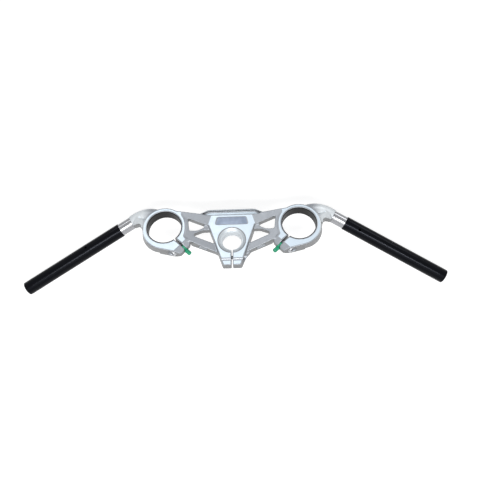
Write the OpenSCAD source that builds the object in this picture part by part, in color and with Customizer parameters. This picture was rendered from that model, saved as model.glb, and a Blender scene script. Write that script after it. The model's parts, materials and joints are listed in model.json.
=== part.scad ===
// Forged top fork yoke with one-piece handlebar arms and pressed-in bars.
// Frame: origin on the steering stem axis at the yoke's underside,
// +X to the rider's right, +Y forward, +Z up. All sizes in millimetres.

/* [Fork clamps] */
// Distance between the two fork axes
fork_spacing = 210; // [200:1:220]
// Distance of the fork axes ahead of the stem axis
fork_offset = 24; // [20:0.5:28]
// Diameter of the fork tube that the liner holds
fork_d = 53; // [50:0.5:54]
// Wall of the black liner sleeve
liner_wall = 1; // [0.6:0.1:1.5]
// How far the liner stops short of the ring's faces
liner_inset = 0.8; // [0.4:0.1:2]
// Thinnest wall of the clamp ring, at its front
ring_wall = 6; // [5:0.5:8]
// Height of the clamp rings
ring_h = 20; // [18:0.5:24]
// Stretch of the ring's outside towards the rear
ring_stretch = 4.3; // [2:0.1:6]
// Flare of the ring's foot towards its outer side
ring_flare = 3; // [1:0.25:5]

/* [Fork clamp ears] */
// Direction of the clamp slit, from straight inwards towards the rear
slit_angle = 42.7; // [36:0.1:50]
// Width of the fork clamp slits
slit_w = 3; // [2:0.25:4]
// Offset of the slit from the fork axis, towards the outer ear
slit_offset = 4; // [2:0.5:6]
// Reach of the ears from the fork axis
ear_reach = 50; // [49:0.5:54]
// Thickness of the outer ear at its tip
outer_ear_t = 10; // [8:0.5:12]
// Thickness of the inner ear
inner_ear_t = 11; // [9:0.5:13]
// Distance of the pinch bolt from the fork axis
bolt_reach = 37.5; // [36:0.5:40]
// Slope of the ears' nose
nose_slope = 34; // [20:1:45]

/* [Centre boss] */
// Height of the centre boss
boss_h = 16; // [14:0.5:18]
// Half width of the boss at its shoulders
boss_half_w = 36; // [33:0.5:39]
// Distance of the boss's shoulders ahead of the stem axis
shoulder_y = 26; // [23:0.5:29]
// Half width of the tongue at its rear end
tongue_half_w = 13.5; // [12:0.5:16]
// Distance of the tongue's end behind the stem axis
tongue_reach = 41.5; // [38:0.5:46]
// Draft of the boss's side walls
boss_draft = 4; // [0:0.5:7]
// Step down on the tongue behind the stem
tongue_step = 1.5; // [0.5:0.25:3]
// Distance of that step behind the stem axis
tongue_step_reach = 31; // [29:0.5:34]
// Width of the bolt ledge along the tongue's right side
ledge_w = 3.3; // [1:0.1:5]
// Height of that ledge
ledge_h = 8; // [5:0.5:9]

/* [Stem clamp] */
// Diameter of the stem bore
stem_d = 30; // [26:0.5:32]
// Diameter of the countersink at the top face
stem_seat_d = 42.4; // [40:0.2:46]
// Diameter of the countersink's floor
stem_floor_d = 34; // [33:0.5:37]
// Depth of the countersink
stem_seat_depth = 4; // [2:0.5:5]
// Width of the stem clamp slit
stem_slit_w = 2; // [1.5:0.25:3]
// Distance of the stem's pinch bolt ahead of the tongue's end
stem_bolt_inset = 15; // [13:0.5:15.5]

/* [Front lip] */
// Distance of the lip's front ahead of the stem axis
lip_y = 54; // [52:0.5:57]
// Half width of the lip's straight front
lip_half_w = 37; // [32:0.5:40]
// Wall of the lip
lip_wall = 1.6; // [1.2:0.1:2.4]
// Width of the pocket behind the lip
pocket_w = 8; // [5:0.5:9]
// Depth of the pocket
pocket_depth = 5; // [3:0.5:7]

/* [Truss] */
// Thickness of the upper arms
upper_arm_t = 11; // [9:0.5:13]
// Thickness of the struts and of the junction
strut_t = 10; // [8:0.5:12]
// Depth of the pockets in the lower arms' rear walls
side_pocket_d = 3; // [1:0.5:4]
// Length of those pockets
side_pocket_l = 15; // [8:1:20]
// Height of the truss's top face where it meets the boss
truss_root_z = 11.5; // [10:0.5:13]

/* [Handlebar arms] */
// Radius of the arm at its end
arm_r = 10.9; // [10.7:0.1:13]
// Radius of the arm at its root in the ring
arm_root_r = 9; // [8:0.5:10]
// Swelling of the arm's radius half way along
arm_swell = 2; // [0:0.1:2.5]

/* [Handlebars] */
// Diameter of the black bars
bar_d = 22.2; // [21.8:0.1:23]
// Wall of the black bars
bar_wall = 3; // [2:0.25:4]
// Length of the black bars
bar_l = 180; // [150:1:220]
// Rounding of the bar's ends
bar_edge_r = 1.4; // [0.5:0.1:1.4]
// Angle that the bars sweep back
bar_sweep = 27.6; // [24:0.2:31]
// Angle that the bars droop
bar_droop = 13; // [10:0.5:16]
// Diameter of the silver spigot between arm and bar
spigot_d = 20.2; // [19:0.1:21]
// Visible length of the spigot
spigot_l = 22; // [18:0.5:26]
// Length of the spigot inside the arm
spigot_grip = 15; // [10:0.5:16]
// Length of the spigot's thinner end inside the bar
spigot_tail = 20; // [16:0.5:21]
// Diameter of the switchgear pin holes
pin_hole_d = 4; // [3:0.25:5]
// Distance of the left pin hole from the bar's inner end
left_pin_reach = 62; // [50:1:80]
// Turn of the left pin hole from straight up towards the rear
left_pin_turn = -9; // [-30:1:30]
// Distance of the right pin hole from the bar's inner end
right_pin_reach = 25; // [16:1:40]
// Turn of the right pin hole from straight up towards the rear
right_pin_turn = 20; // [-30:1:30]

/* [Pinch bolts] */
// Thread diameter of the pinch bolts
bolt_d = 8; // [6:0.5:8]
// Diameter of their heads
bolt_head_d = 13; // [11:0.5:13]
// Height of their heads
bolt_head_h = 8; // [6:0.5:8]
// Thickness of the outer ear under the head
bolt_grip = 8.5; // [6:0.5:9]
// Thread diameter of the stem's pinch bolt
stem_bolt_d = 6; // [5:0.5:6]
// Diameter of its head
stem_bolt_head_d = 10; // [9:0.5:11]
// Height of its head
stem_bolt_head_h = 6; // [5:0.5:7]
// Clearance round bolts in plain holes
bolt_gap = 0.25; // [0.1:0.05:0.4]

/* [Trim] */
// Width of the name plate at its rear edge
plate_w = 50; // [44:0.5:54]
// Depth of the name plate from rear to front
plate_d = 12; // [9:0.5:13]
// Thickness of the name plate
plate_t = 0.8; // [0.5:0.1:1.2]
// Depth of the plate's recess
plate_recess = 0.5; // [0.3:0.1:0.8]
// Distance of the plate's rear edge ahead of the stem axis
plate_y = 27.5; // [26:0.5:29]
// Diameter of the slit plug's rounded head
plug_head_d = 7; // [6:0.25:9]
// Length of the plug's head
plug_head_l = 9.5; // [7:0.5:14]

/* [Hidden] */

// Clearance between pieces that seat in each other
seat_gap = 0.05;
// Amount by which a cut runs past the faces that it opens
over = 1;
// Faces on a full circle
fine = 96;
// Steps on each rounded corner of an outline
corner_steps = 6;

// Derived sizes of the rings
fork_x = fork_spacing / 2;
ring_bore_r = fork_d / 2 + liner_wall + seat_gap;
ring_r = ring_bore_r + ring_wall;
slit_dir = [-cos(slit_angle), -sin(slit_angle)];
slit_side = [-sin(slit_angle), cos(slit_angle)];

// Point of the right ring's plan from its reach along the slit and its offset beside it
function ear_point(reach, beside) = reach * slit_dir + (beside - slit_offset) * slit_side;

// Unit vector of a 2D or 3D vector
function unit(v) = v / norm(v);

// Points of one rounded corner, from p0 round p1 to p2
function corner(p0, p1, p2, r) =
    let (
        u = unit(p0 - p1),
        v = unit(p2 - p1),
        half = acos(u * v) / 2,
        c = p1 + unit(u + v) * r / sin(half),
        a = p1 + u * r / tan(half) - c,
        b = p1 + v * r / tan(half) - c,
        start = atan2(a.y, a.x),
        turn = atan2(a.x * b.y - a.y * b.x, a * b)
    )
    [for (i = [0 : corner_steps]) c + r * [cos(start + turn * i / corner_steps),
                                           sin(start + turn * i / corner_steps)]];

// Outline whose points are [x, y, radius], with each corner rounded
function rounded(pts) =
    let (n = len(pts))
    [for (i = [0 : n - 1])
        let (
            before = pts[(i + n - 1) % n],
            here = pts[i],
            after = pts[(i + 1) % n]
        )
        each (here.z > 0
            ? corner([before.x, before.y], [here.x, here.y], [after.x, after.y], here.z)
            : [[here.x, here.y]])];

// Outline point with its corner radius
function at(p, r = 0) = [p.x, p.y, r];

// Point t of the way along a cubic curve with four control points
function curve_point(p, t) =
    pow(1 - t, 3) * p[0] + 3 * pow(1 - t, 2) * t * p[1] + 3 * (1 - t) * t * t * p[2] + pow(t, 3) * p[3];

// Direction of that curve at t
function curve_dir(p, t) =
    unit(pow(1 - t, 2) * (p[1] - p[0]) + 2 * (1 - t) * t * (p[2] - p[1]) + t * t * (p[3] - p[2]));

// Circle of n points round c, square to dir
function ring_points(c, dir, r, n) =
    let (
        side = unit(cross(dir, [0, 0, 1])),
        rise = cross(side, dir)
    )
    [for (i = [0 : n - 1]) c + r * (cos(360 * i / n) * side + sin(360 * i / n) * rise)];

// Derived places of the handlebar arms and bars
bar_dir = [cos(bar_sweep) * cos(bar_droop), -sin(bar_sweep) * cos(bar_droop), -sin(bar_droop)];
bar_start = [fork_x + 75.5, fork_offset + 14.7, ring_h - 34];
arm_end = bar_start - spigot_l * bar_dir;
arm_curve = [[fork_x + 5, fork_offset + 22, ring_h / 2],
             [fork_x + 23, fork_offset + 32, ring_h / 2 - 1],
             arm_end - 14 * bar_dir,
             arm_end];
bar_bore_r = bar_d / 2 - bar_wall;
bar_seat_r = bar_bore_r + 0.5;

// Derived place of the stem's pinch bolt behind the stem axis
stem_bolt_reach = tongue_reach - stem_bolt_inset;

// Derived places of the truss: its inner side at the boss, its outer side at the ring
truss_in_x = boss_half_w;
truss_out_x = fork_x - ring_r;
rim_x = fork_x - ring_bore_r;
truss_rise = (ring_h - truss_root_z) / (rim_x - 28);

// Derived ends of the lower arms' rear walls, at the tongue and at the ring
arm_foot = [20, -19.6];
arm_heel = [fork_x - 42, fork_offset - 25.4];

// Derived place of the upper arms: the crease where they leave the boss's flat top
arm_angle = atan2(fork_offset - 8 + 19 - shoulder_y + 4, fork_x - 61);
crease = [boss_half_w - 2.2, shoulder_y + 9.3];
arm_run = norm([fork_x - 25, fork_offset + 24] - crease);

// Mirrors its children to the rider's left
module to_left() {
    mirror([1, 0, 0]) children();
}

// Moves its children onto the right fork axis
module on_fork() {
    translate([fork_x, fork_offset, 0]) children();
}

// Turns the Z axis onto the right bar's direction, from a point on the bar
module along_bar(p) {
    translate(p) rotate([0, 90 + bar_droop, -bar_sweep]) children();
}

// Turns the Z axis onto the right fork's pinch bolt, from the slit outwards to the inner ear
module along_fork_bolt() {
    place = ear_point(bolt_reach, 0);
    translate([fork_x + place.x, fork_offset + place.y, ring_h / 2])
        rotate([0, 0, slit_angle]) rotate([-90, 0, 0]) children();
}

// Turns the Z axis onto the stem's pinch bolt, from the slit towards its head
module along_stem_bolt() {
    translate([0, -stem_bolt_reach, boss_h / 2]) rotate([0, 90, 0]) children();
}

// Flat-sided solid from an outline in the XZ plane, reaching from y0 to y1
module side_profile(pts, y0, y1) {
    translate([0, y1, 0]) rotate([90, 0, 0]) linear_extrude(y1 - y0) polygon(pts);
}

// Body of the right clamp ring, with its foot flared towards the outer side
module ring_body() {
    hull() {
        translate([0, 0, ring_h - 1]) cylinder(r = ring_r, h = 1 + over, $fn = 64);
        translate([0, -ring_stretch, ring_h - 1]) cylinder(r = ring_r, h = 1 + over, $fn = 64);
        translate([ring_flare, -1.5, 0]) cylinder(r = ring_r + 0.5, h = 1, $fn = 64);
    }
}

// Plan of both ears before the slit: the outer one leaves the ring's rear along a tangent
module ears_plan() {
    tip = ear_point(ear_reach, -slit_w / 2 - outer_ear_t);
    centre = [0, -ring_stretch];
    reach = norm(tip - centre);
    way = atan2(tip.y - centre.y, tip.x - centre.x) + acos(ring_r / reach);
    tangent = centre + ring_r * [cos(way), sin(way)];
    polygon(rounded([
        at(tangent),
        at(tip, 4),
        at(ear_point(ear_reach, slit_w / 2 + inner_ear_t), 5),
        at(ear_point(ring_bore_r - 3, slit_w / 2 + inner_ear_t)),
        at([tangent.x, -ring_bore_r + 1])
    ]));
}

// Plan of the clamp slit with its flared mouth, from the fork axis along the slit
module slit_plan() {
    half = slit_w / 2;
    polygon([
        [20, -half],
        [ear_reach - 2, -half],
        [ear_reach - 0.7, -half - 0.5],
        [ear_reach + 1, -half - 2.2],
        [ear_reach + 1, half + 2.2],
        [ear_reach - 0.7, half + 0.5],
        [ear_reach - 2, half],
        [20, half]
    ]);
}

// Wedge above the ears' noses, in the ring's own frame
module nose_cut() {
    place = ear_point(ear_reach - 9, 0);
    translate([place.x, place.y, ring_h]) rotate([0, 0, 180 + slit_angle]) rotate([0, nose_slope, 0])
        translate([0, -30, 0]) cube([30, 60, 15]);
}

// Right clamp ring with both ears, in the ring's own frame, before bores and slits
module fork_ring() {
    ring_body();
    difference() {
        linear_extrude(ring_h + over) ears_plan();
        nose_cut();
        translate([0, 0, ring_h]) mirror([0, 0, 1]) nose_cut();
    }
}

// Plan of the boss at a height above the yoke's underside, grown by its draft
module boss_plan(grow) {
    shoulder = boss_half_w + grow;
    tongue = tongue_half_w + grow;
    polygon(rounded([
        at([shoulder, shoulder_y], 4),
        at([shoulder - 4, shoulder_y + 20]),
        at([4 - shoulder, shoulder_y + 20]),
        at([-shoulder, shoulder_y], 4),
        at([-tongue, -tongue_reach], 2),
        at([tongue, -tongue_reach], 2)
    ]));
}

// Centre boss with drafted sides and the tongue behind the stem
module boss() {
    difference() {
        hull() {
            linear_extrude(0.1) boss_plan(boss_h * tan(boss_draft));
            translate([0, 0, boss_h - 0.1]) linear_extrude(0.1) boss_plan(0);
        }
        tongue_step_cut();
    }
}

// Cut that lowers the tongue behind the stem by one sloped step
module tongue_step_cut() {
    half = tongue_half_w + 20;
    translate([-half, 0, 0]) rotate([90, 0, 90]) linear_extrude(2 * half) polygon([
        [-tongue_step_reach, boss_h + over],
        [-tongue_step_reach, boss_h],
        [-tongue_step_reach - 2.5, boss_h - tongue_step],
        [-tongue_reach - 5, boss_h - tongue_step],
        [-tongue_reach - 5, boss_h + over]
    ]);
}

// Ledge for the stem's pinch bolt along the tongue's right side
module bolt_ledge() {
    foot = tongue_half_w + ledge_w;
    linear_extrude(ledge_h) polygon(rounded([
        at([0, -tongue_reach]),
        at([foot - 2, -tongue_reach], 4),
        at([foot + 4.5, 1 - stem_bolt_reach], 12),
        at([foot + 13, 11 - stem_bolt_reach]),
        at([0, 11 - stem_bolt_reach])
    ]));
}

// Fillet between the tongue and the left lower arm
module root_fillet() {
    linear_extrude(boss_h - 5) polygon([
        [-tongue_half_w - 4, -stem_bolt_reach],
        [-tongue_half_w - 5.5, 3 - stem_bolt_reach],
        [-tongue_half_w - 8, 6.5 - stem_bolt_reach],
        [-tongue_half_w - 13, 10 - stem_bolt_reach],
        [0, 12 - stem_bolt_reach]
    ]);
}

// Thin front body that carries the lip
module front_body() {
    translate([0, 0, boss_h - upper_arm_t]) linear_extrude(upper_arm_t) polygon(rounded([
        at([boss_half_w - 5, shoulder_y + 14]),
        at([lip_half_w + 13, lip_y - 9]),
        at([lip_half_w + 13, lip_y - 6.5], 1),
        at([lip_half_w, lip_y], 9),
        at([-lip_half_w, lip_y], 9),
        at([-lip_half_w - 13, lip_y - 6.5], 1),
        at([-lip_half_w - 13, lip_y - 9]),
        at([5 - boss_half_w, shoulder_y + 14])
    ]));
}

// Lens-shaped pocket behind the lip
module pocket_cut() {
    near_y = lip_y - lip_wall - pocket_w;
    far_y = lip_y - lip_wall;
    translate([0, 0, boss_h - pocket_depth]) linear_extrude(pocket_depth + 10) polygon(rounded([
        at([lip_half_w + 3, near_y], 6),
        at([lip_half_w + 11, far_y - 5], 0.8),
        at([lip_half_w - 1, far_y], 8),
        at([1 - lip_half_w, far_y], 8),
        at([-lip_half_w - 11, far_y - 5], 0.8),
        at([-lip_half_w - 3, near_y], 6)
    ]));
}

// Right upper arm: a sloped bar from the boss's flat top up to the ring's front
module upper_arm() {
    intersection() {
        linear_extrude(ring_h + over) polygon([
            [boss_half_w - 6, shoulder_y - 2.5],
            [boss_half_w, shoulder_y],
            [fork_x - 25, fork_offset + 19.5],
            [fork_x - 15, fork_offset + 28.5],
            [lip_half_w + 12, lip_y - 7],
            [boss_half_w - 6, shoulder_y + 18]
        ]);
        translate([crease.x, crease.y, 0]) rotate([0, 0, arm_angle]) side_profile([
            [-20, boss_h],
            [0, boss_h],
            [2 * arm_run, 2 * ring_h - boss_h],
            [2 * arm_run, ring_h - upper_arm_t],
            [arm_run, ring_h - upper_arm_t],
            [0, boss_h - upper_arm_t],
            [-20, boss_h - upper_arm_t]
        ], -30, 30);
    }
}

// Height of the truss's top face at x
function truss_z(x) = truss_root_z + truss_rise * (x - 28);

// Band of the given thickness under the truss's sloped top face
module truss_band(thickness) {
    side_profile([
        [0, truss_z(0)],
        [rim_x + 8, truss_z(rim_x + 8)],
        [rim_x + 8, ring_h - thickness],
        [rim_x, ring_h - thickness],
        [0, truss_z(0) - thickness]
    ], -60, 90);
}

// Line of the upper arm's rear wall
function arm_rear_y(x) =
    shoulder_y + (x - boss_half_w) * (fork_offset + 19.5 - shoulder_y) / (fork_x - 25 - boss_half_w);

// Plan of the truss's upper opening, between the upper arm and the diagonal strut
module upper_opening_plan() {
    polygon(rounded([
        at([truss_in_x + 7.5, shoulder_y - 2], 1.2),
        at([truss_in_x + 17, fork_offset - 5.6], 12),
        at([truss_out_x - 5, fork_offset - 7], 3.5),
        at([truss_out_x - 2.5, arm_rear_y(truss_out_x - 2.5) + 3], 3),
        at([truss_in_x + 7.5, arm_rear_y(truss_in_x + 7.5) + 3])
    ]));
}

// Plan of the truss's lower opening, between the diagonal strut and the lower arm
module lower_opening_plan() {
    polygon(rounded([
        at([truss_in_x - 4, fork_offset - 4]),
        at([truss_in_x + 9, fork_offset - 5.2], 14),
        at([truss_out_x - 13, fork_offset - 11.5], 2.5),
        at([truss_out_x - 13, fork_offset - 15.7], 2.5),
        at([truss_in_x - 9, -3.4])
    ]));
}

// Right truss: diagonal strut, lower arm and the junction beside the ring
module truss() {
    lower_front = [[20, -6.8], [truss_out_x - 13, fork_offset - 16.2]];
    intersection() {
        truss_band(strut_t);
        difference() {
            linear_extrude(ring_h + over) polygon([
                arm_foot,
                arm_heel,
                [fork_x - 30, fork_offset - 23],
                [fork_x - 28, fork_offset + 18],
                [boss_half_w, shoulder_y + 3],
                [20, shoulder_y + 3]
            ]);
            translate([0, 0, -over]) linear_extrude(ring_h + 3 * over) union() {
                upper_opening_plan();
                lower_opening_plan();
            }
        }
    }
    intersection() {
        truss_band(ring_h);
        linear_extrude(ring_h + over) polygon([
            arm_foot,
            arm_heel,
            [fork_x - 36, fork_offset - 18],
            lower_front[1],
            lower_front[0]
        ]);
    }
}

// Long pocket in the right lower arm's rear wall
module side_pocket() {
    run = arm_heel - arm_foot;
    middle = arm_foot + 0.58 * run;
    translate([middle.x, middle.y, 8]) rotate([0, 0, atan2(run.y, run.x)])
        translate([-side_pocket_l / 2, -10, -3]) cube([side_pocket_l, 10 + side_pocket_d, 6]);
}

// Right handlebar arm, swept along a curve with a growing round section
module handlebar_arm() {
    rings = 14;
    sides = 32;
    swept = [for (k = [0 : rings])
        let (t = k / rings)
        each ring_points(curve_point(arm_curve, t), curve_dir(arm_curve, t),
                         arm_root_r + (arm_r - arm_root_r) * t + arm_swell * sin(180 * t), sides)];
    points = concat(swept, ring_points(arm_end + over * bar_dir, bar_dir, arm_r, sides));
    faces = [for (k = [0 : rings]) for (i = [0 : sides - 1])
        let (a = k * sides + i, b = k * sides + (i + 1) % sides)
        [a, b, b + sides, a + sides]];
    start_cap = [[for (i = [sides - 1 : -1 : 0]) i]];
    end_cap = [[for (i = [0 : sides - 1]) (rings + 1) * sides + i]];
    polyhedron(points, concat(faces, start_cap, end_cap));
}

// Web in the corner between the ring and the handlebar arm, with a hollow rear side
module arm_web() {
    intersection() {
        translate([0, 0, -20]) linear_extrude(60) polygon(rounded([
            at([fork_x + 22, fork_offset + 2]),
            at([fork_x + 37, fork_offset + 2]),
            at([fork_x + 39.7, fork_offset + 11.8], 7),
            at([fork_x + 54, fork_offset + 13.5]),
            at([fork_x + 50, fork_offset + 24]),
            at([fork_x + 30, fork_offset + 30])
        ]));
        side_profile([
            [fork_x + 20, 1],
            [fork_x + 20, ring_h - 2],
            [fork_x + 33, ring_h - 2],
            [fork_x + 43, ring_h / 2 + 1],
            [fork_x + 54, 2],
            [fork_x + 54, -9],
            [fork_x + 42, -2]
        ], -60, 90);
        translate([fork_x, 0, 0]) rotate([90, 0, 90]) linear_extrude(60) polygon([
            [fork_offset, ring_h],
            [fork_offset + 10, ring_h],
            [fork_offset + 22, ring_h / 2],
            [fork_offset + 40, ring_h / 2],
            [fork_offset + 40, -20],
            [fork_offset, -20]
        ]);
    }
}

// Right half of the yoke that is mirrored to the left, before bores
module yoke_side() {
    on_fork() fork_ring();
    upper_arm();
    truss();
    handlebar_arm();
    arm_web();
}

// Cut that trims everything to the rings' flat top
module top_cut() {
    translate([-2 * fork_x, -fork_x, ring_h]) cube([4 * fork_x, 2 * fork_x, ring_h]);
}

// Everything that is cut from the right half
module side_cuts() {
    side_pocket();
    on_fork() {
        translate([0, 0, -60]) cylinder(r = ring_bore_r, h = 120, $fn = fine);
        rotate([0, 0, 180 + slit_angle]) translate([0, slit_offset, -60])
            linear_extrude(120) slit_plan();
    }
    along_bar(arm_end) {
        translate([0, 0, -spigot_grip - seat_gap])
            cylinder(r = spigot_d / 2 + seat_gap, h = spigot_grip + over, $fn = fine);
        cylinder(r = 2 * arm_r, h = spigot_l);
    }
    along_fork_bolt() {
        translate([0, 0, -30]) cylinder(r = bolt_d / 2 + bolt_gap, h = 30, $fn = fine);
        cylinder(r = bolt_d / 2 + seat_gap, h = slit_w / 2 + inner_ear_t - 2, $fn = fine);
        translate([0, 0, -slit_w / 2 - bolt_grip - 30])
            cylinder(r = bolt_head_d / 2 + bolt_gap, h = 30, $fn = fine);
    }
}

// Cuts on the centre line
module centre_cuts() {
    translate([0, 0, -over]) cylinder(r = stem_d / 2, h = boss_h + 2 * over, $fn = fine);
    translate([0, 0, boss_h - stem_seat_depth])
        cylinder(r1 = stem_floor_d / 2, r2 = stem_seat_d / 2, h = stem_seat_depth, $fn = fine);
    translate([0, 0, boss_h]) cylinder(r = stem_seat_d / 2, h = over, $fn = fine);
    translate([-stem_slit_w / 2, -tongue_reach - 5, -over])
        cube([stem_slit_w, tongue_reach + 5, boss_h + 2 * over]);
    along_stem_bolt() {
        cylinder(r = stem_bolt_d / 2 + bolt_gap, h = 40, $fn = fine);
        translate([0, 0, -14]) cylinder(r = stem_bolt_d / 2 + seat_gap, h = 14, $fn = fine);
        translate([0, 0, 11]) cylinder(r = stem_bolt_head_d / 2 + bolt_gap, h = 30, $fn = fine);
    }
    pocket_cut();
    translate([0, 0, boss_h - plate_recess]) linear_extrude(plate_recess + over) plate_plan(seat_gap);
}

// Forged yoke: both rings, boss, truss and handlebar arms in one piece
module yoke() {
    color([0.87, 0.9, 0.93]) difference() {
        union() {
            boss();
            bolt_ledge();
            root_fillet();
            front_body();
            yoke_side();
            to_left() yoke_side();
        }
        top_cut();
        side_cuts();
        to_left() side_cuts();
        centre_cuts();
    }
}

// Plan of the name plate, grown all round by a gap
module plate_plan(gap) {
    half = plate_w / 2 + gap;
    polygon(rounded([
        at([half, plate_y - gap], 1.5),
        at([half - 2.5, plate_y + plate_d + gap], 1.5),
        at([2.5 - half, plate_y + plate_d + gap], 1.5),
        at([-half, plate_y - gap], 1.5)
    ]));
}

// Bare name plate in its shallow recess
module name_plate() {
    color([0.63, 0.67, 0.8]) translate([0, 0, boss_h - plate_recess]) linear_extrude(plate_t) plate_plan(0);
}

// Right liner: a thin split sleeve in the ring's bore
module fork_liner() {
    color([0.07, 0.07, 0.08]) on_fork() difference() {
        translate([0, 0, liner_inset])
            cylinder(r = ring_bore_r - seat_gap, h = ring_h - 2 * liner_inset, $fn = fine);
        translate([0, 0, -over]) cylinder(r = fork_d / 2, h = ring_h + 2 * over, $fn = fine);
        rotate([0, 0, 180 + slit_angle]) translate([20, slit_offset - slit_w / 2, -over])
            cube([60, slit_w, ring_h + 2 * over]);
    }
}

// Right spigot: pressed into the arm, with a turned-down end inside the bar
module bar_spigot() {
    color([0.8, 0.82, 0.85]) along_bar(arm_end) {
        translate([0, 0, -spigot_grip])
            cylinder(r = spigot_d / 2, h = spigot_grip + spigot_l, $fn = fine);
        translate([0, 0, spigot_l])
            cylinder(r = bar_seat_r - seat_gap, h = spigot_tail, $fn = fine);
    }
}

// Right bar: a tube with rounded ends, a seat for the spigot's tail and a pin hole
module bar(pin_reach, pin_turn) {
    r = bar_d / 2;
    color([0.06, 0.06, 0.07]) along_bar(bar_start) difference() {
        rotate_extrude($fn = fine) polygon(rounded([
            at([bar_bore_r, spigot_tail + 0.5]),
            at([bar_seat_r, spigot_tail + 0.5]),
            at([bar_seat_r, 0]),
            at([r, 0], 0.5),
            at([r, bar_l], bar_edge_r),
            at([bar_bore_r, bar_l], bar_edge_r / 2)
        ]));
        translate([0, 0, pin_reach]) rotate([0, 0, pin_turn]) rotate([0, -90, 0])
            cylinder(r = pin_hole_d / 2, h = bar_d, $fn = 32);
    }
}

// Socket-head bolt with its head's seat at z = 0 and its thread along +Z
module pinch_bolt(d, head_d, head_h, length) {
    color([0.55, 0.56, 0.58]) difference() {
        union() {
            cylinder(r = d / 2, h = length, $fn = fine);
            translate([0, 0, -head_h]) cylinder(r = head_d / 2, h = head_h, $fn = fine);
        }
        translate([0, 0, -head_h - over]) cylinder(r = d * 0.43, h = head_h / 2 + over, $fn = 6);
    }
}

// Right fork's pinch bolt
module fork_pinch_bolt() {
    seat = slit_w / 2 + bolt_grip;
    along_fork_bolt() translate([0, 0, -seat])
        pinch_bolt(bolt_d, bolt_head_d, bolt_head_h, seat + slit_w / 2 + inner_ear_t - 3);
}

// Stem's pinch bolt, with its head on the right
module stem_pinch_bolt() {
    along_stem_bolt() translate([0, 0, 11]) mirror([0, 0, 1])
        pinch_bolt(stem_bolt_d, stem_bolt_head_d, stem_bolt_head_h, 24);
}

// Right green plug: a tongue in the slit and a rounded head behind the ears
module slit_plug() {
    tongue_h = ring_h * 0.6;
    tongue_l = ear_reach - bolt_reach - bolt_d / 2 - 0.5;
    r = plug_head_d / 2;
    color([0.13, 0.65, 0.42]) on_fork() translate([0, 0, ring_h / 2])
        rotate([0, 0, 180 + slit_angle]) translate([ear_reach + 0.2, slit_offset, 0]) {
            translate([-tongue_l, -slit_w / 2 + seat_gap, -tongue_h / 2])
                cube([tongue_l + 1, slit_w - 2 * seat_gap, tongue_h]);
            rotate([0, 90, 0]) rotate_extrude($fn = fine) polygon(rounded([
                [0, 0, 0],
                [r, 0, 0.8],
                [r, plug_head_l, r * 0.75],
                [0, plug_head_l, 0]
            ]));
        }
}

yoke();
to_left() fork_liner();  // left_fork_liner
fork_liner();  // right_fork_liner
name_plate();
to_left() bar_spigot();  // left_bar_spigot
bar_spigot();  // right_bar_spigot
to_left() bar(left_pin_reach, left_pin_turn);  // left_bar
bar(right_pin_reach, right_pin_turn);  // right_bar
to_left() slit_plug();  // left_slit_plug
slit_plug();  // right_slit_plug
to_left() fork_pinch_bolt();  // left_fork_pinch_bolt
fork_pinch_bolt();  // right_fork_pinch_bolt
stem_pinch_bolt();
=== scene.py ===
"""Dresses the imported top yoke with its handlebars, lights it and sets the camera.

The frame's solids give every place and size. All lengths are in metres, with +X to
the rider's right, +Y forward and +Z up along the steering stem.
"""

import json
import logging
import math
from dataclasses import dataclass
from enum import Enum

import bmesh
import bpy
import numpy as np
from mathutils import Matrix, Vector


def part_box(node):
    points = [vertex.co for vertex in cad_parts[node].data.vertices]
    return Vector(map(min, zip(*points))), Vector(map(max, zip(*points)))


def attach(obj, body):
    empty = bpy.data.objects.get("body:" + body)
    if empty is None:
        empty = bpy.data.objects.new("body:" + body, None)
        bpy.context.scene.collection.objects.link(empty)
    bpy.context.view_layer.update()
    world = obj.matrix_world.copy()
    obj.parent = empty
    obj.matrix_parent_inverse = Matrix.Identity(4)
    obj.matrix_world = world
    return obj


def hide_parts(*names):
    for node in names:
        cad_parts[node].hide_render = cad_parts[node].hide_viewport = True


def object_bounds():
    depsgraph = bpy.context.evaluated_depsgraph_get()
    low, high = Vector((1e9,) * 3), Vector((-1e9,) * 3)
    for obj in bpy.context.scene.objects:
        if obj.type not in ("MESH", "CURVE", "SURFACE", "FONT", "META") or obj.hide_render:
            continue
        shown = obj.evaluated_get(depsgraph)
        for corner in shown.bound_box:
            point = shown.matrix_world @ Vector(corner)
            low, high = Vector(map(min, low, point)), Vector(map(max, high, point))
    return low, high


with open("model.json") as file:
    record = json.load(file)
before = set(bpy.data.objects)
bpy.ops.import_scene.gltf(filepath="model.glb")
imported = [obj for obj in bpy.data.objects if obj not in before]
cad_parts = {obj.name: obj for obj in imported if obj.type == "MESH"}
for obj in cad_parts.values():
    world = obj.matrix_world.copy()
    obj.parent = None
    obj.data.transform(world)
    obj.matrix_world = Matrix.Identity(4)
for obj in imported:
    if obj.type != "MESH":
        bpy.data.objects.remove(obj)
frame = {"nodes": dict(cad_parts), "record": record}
CAD_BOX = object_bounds()

LOG = logging.getLogger("handlebar")
MM = 0.001
NODES = frame["nodes"]
UNTURNED = Matrix.Identity(4)
# The right fork's slit: its direction in degrees, and how far it passes the fork's axis.
SLIT_ANGLE = 222.7
SLIT_OFFSET = 4 * MM
# The pinch bolts: a shank's radius and a head's height, and the right fork bolt's direction.
FORK_BOLT = (4 * MM, 8 * MM)
STEM_BOLT = (3 * MM, 6 * MM)
FORK_BOLT_ANGLE = 42.7
# How deep a spigot sits in its handlebar arm, and how it clears the bar's bore.
SPIGOT_GRIP = 15 * MM
SPIGOT_GAP = 0.05 * MM
# The picture's width in pixels, and the sensor's in millimetres.
PICTURE_W = 480
SENSOR_W = 36.0

# Heights that differ by less than this are one height, and nearer corners are one corner.
LEVEL = 1e-9
WELD = 1e-7

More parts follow.
